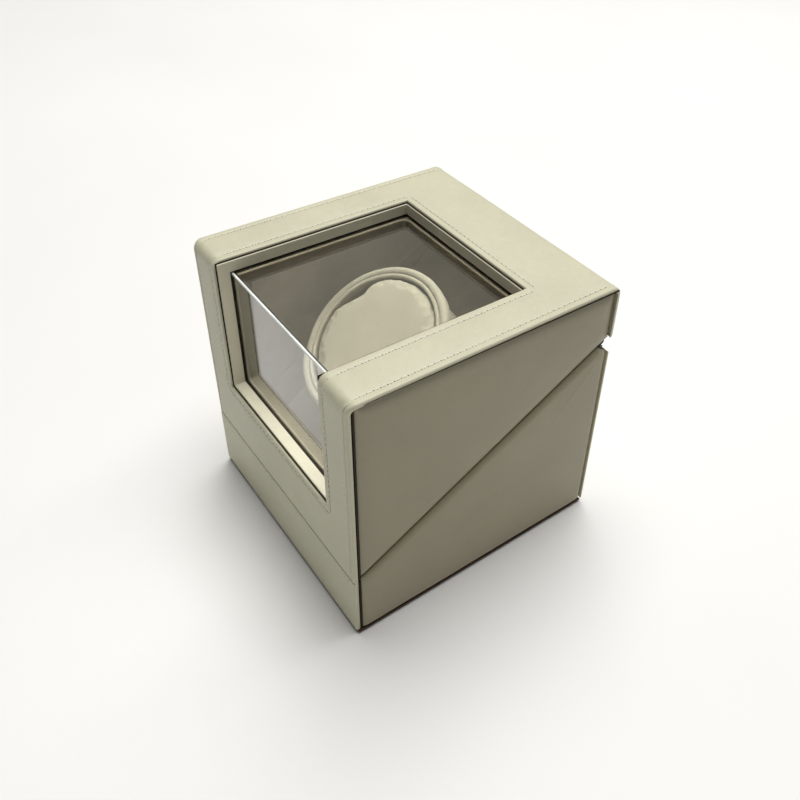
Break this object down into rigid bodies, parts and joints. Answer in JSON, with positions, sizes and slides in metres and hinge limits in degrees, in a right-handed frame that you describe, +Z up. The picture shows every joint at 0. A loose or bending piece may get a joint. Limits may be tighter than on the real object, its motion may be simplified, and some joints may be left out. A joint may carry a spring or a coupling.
{
  "type": "watch winder box",
  "caption": "Leather-covered watch winder cube that opens on a slanted split, with a corner window over a round velvet watch drum on a sloping suede deck.",
  "frame": {"origin": "middle of the box's footprint, on the surface that it stands on", "axes": "+X to the right seen from the front, +Y to the rear, +Z up; the window faces -Y and +Z"},
  "size_m": [0.175, 0.179, 0.18],
  "materials": {
    "leather": "cream grained leather, satin",
    "liner_leather": "smooth cream leather, satin",
    "suede": "grey-brown suede, matt",
    "dark_suede": "dark brown suede, matt",
    "velvet": "cream velvet",
    "fibreboard": "raw medium-density fibreboard",
    "dark_board": "dark brown faced board",
    "acrylic": "clear polished acrylic",
    "rubber": "black, matt",
    "black_plastic": "black, fine texture",
    "white_plastic": "natural acetal, satin",
    "black_steel": "satin black",
    "steel": "zinc-plated, satin",
    "brass": "machined",
    "circuit": "green solder mask"
  },
  "bodies": {
    "base": {"base_carcass": "fibreboard", "base_front_skin": "leather", "base_lining": "suede", "base_rear_skin": "leather", "base_side_panel_left": "leather", "base_side_panel_right": "leather", "bottom_board": "dark_board", "bracket_bush": "brass", "bracket_screw_1": "steel", "bracket_screw_2": "steel", "bracket_screw_3": "steel", "bracket_screw_4": "steel", "control_circuit": "circuit", "control_plate": "black_plastic", "dc_jack": "black_plastic", "deck_bush": "brass", "deck_panel": "suede", "drive_bracket": "steel", "foot_1": "rubber", "foot_2": "rubber", "foot_3": "rubber", "foot_4": "rubber", "gearmotor": "steel", "hinge_left_base_leaf": "black_steel", "hinge_left_base_screw_1": "black_steel", "hinge_left_base_screw_2": "black_steel", "hinge_left_pin": "black_steel", "hinge_right_base_leaf": "black_steel", "hinge_right_base_screw_1": "black_steel", "hinge_right_base_screw_2": "black_steel", "hinge_right_pin": "black_steel", "knob_switch": "black_plastic", "motor_screw_1": "steel", "motor_screw_2": "steel", "slide_switch": "steel"},
    "lid": {"hinge_left_lid_leaf": "black_steel", "hinge_left_lid_screw_1": "black_steel", "hinge_left_lid_screw_2": "black_steel", "hinge_right_lid_leaf": "black_steel", "hinge_right_lid_screw_1": "black_steel", "hinge_right_lid_screw_2": "black_steel", "lid_carcass": "fibreboard", "lid_lining": "suede", "lid_side_panel_left": "leather", "lid_side_panel_right": "leather", "lid_skin": "leather", "window_frame": "dark_suede", "window_liner": "liner_leather", "window_pane": "acrylic"},
    "drum": {"drum_cup": "velvet", "drum_gear": "white_plastic", "drum_spindle": "steel", "spindle_clip": "steel", "velvet_ring": "velvet"},
    "pinion": {"motor_pinion": "brass"},
    "cushion": {"watch_cushion": "velvet"},
    "knob": {"speed_knob": "black_plastic"},
    "slider": {"direction_slider": "white_plastic"}
  },
  "joints": [
    {"name": "lid_hinge", "type": "hinge", "parent": "base", "child": "lid", "pos_m": [0, 0.0858, 0.1383], "axis": [-1, 0, 0], "range_deg": [0, 100]},
    {"name": "drum_spin", "type": "hinge", "parent": "base", "child": "drum", "pos_m": [0, 0.0145, 0.0846], "axis": [0, -0.5948, 0.8039], "continuous": true},
    {"name": "pinion_spin", "type": "hinge", "parent": "base", "child": "pinion", "pos_m": [0, -0.01468, 0.06301], "axis": [0, -0.5948, 0.8039], "continuous": true},
    {"name": "cushion_slide", "type": "slide", "parent": "drum", "child": "cushion", "axis": [0, -0.5948, 0.8039], "range_m": [0, 0.012]},
    {"name": "knob_turn", "type": "hinge", "parent": "base", "child": "knob", "pos_m": [-0.018, 0.0829, 0.035], "axis": [0, -1, 0], "range_deg": [0, 270]},
    {"name": "slider_shift", "type": "slide", "parent": "base", "child": "slider", "axis": [1, 0, 0], "range_m": [-0.003, 0.003]}
  ],
  "couplings": [
    {"joint": "pinion_spin", "follows": "drum_spin", "ratio": -5}
  ]
}
